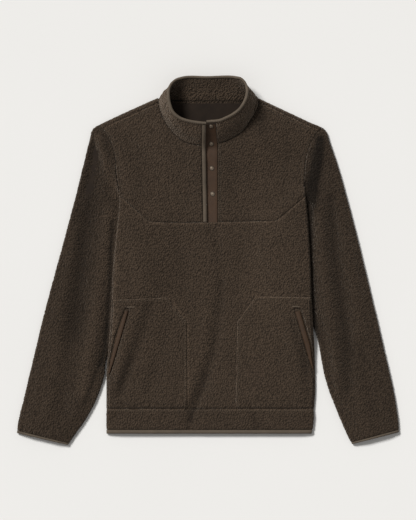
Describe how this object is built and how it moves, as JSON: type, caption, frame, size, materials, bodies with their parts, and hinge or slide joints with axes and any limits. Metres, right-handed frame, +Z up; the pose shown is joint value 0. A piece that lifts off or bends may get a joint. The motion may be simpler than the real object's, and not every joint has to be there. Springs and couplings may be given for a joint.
{
  "type": "fleece pullover",
  "caption": "Pile-fleece pullover laid flat, with a bound stand collar, half snap placket, shaped yoke, slanted-welt patch pockets and a hem band",
  "frame": {"origin": "on the surface that the garment lies on, under the middle of its outline", "axes": "+X to the right as seen from above with the collar away, across both sleeves; +Y from hem to collar; +Z up from the surface, towards the front of the garment"},
  "size_m": [0.8018, 0.7744, 0.064],
  "materials": {
    "fleece": "dark brown pebbled pile fleece",
    "binding": "olive-tan folded binding",
    "tape": "warm brown ribbed woven tape",
    "snap": "dull bronze-brown metal"
  },
  "bodies": {
    "root": {"back_panel": "fleece", "front_panel": "fleece", "front_yoke_l": "fleece", "front_yoke_r": "fleece", "sleeve_l": "fleece", "sleeve_r": "fleece", "collar": "fleece", "hem_band": "fleece", "pocket_l": "fleece", "pocket_r": "fleece", "collar_binding": "binding", "placket_binding": "binding", "hem_binding": "binding", "cuff_binding_l": "binding", "cuff_binding_r": "binding", "placket_tape": "tape", "pocket_welt_l": "tape", "pocket_welt_r": "tape", "snap_1": "snap", "snap_2": "snap", "snap_3": "snap", "snap_4": "snap"}
  },
  "joints": []
}
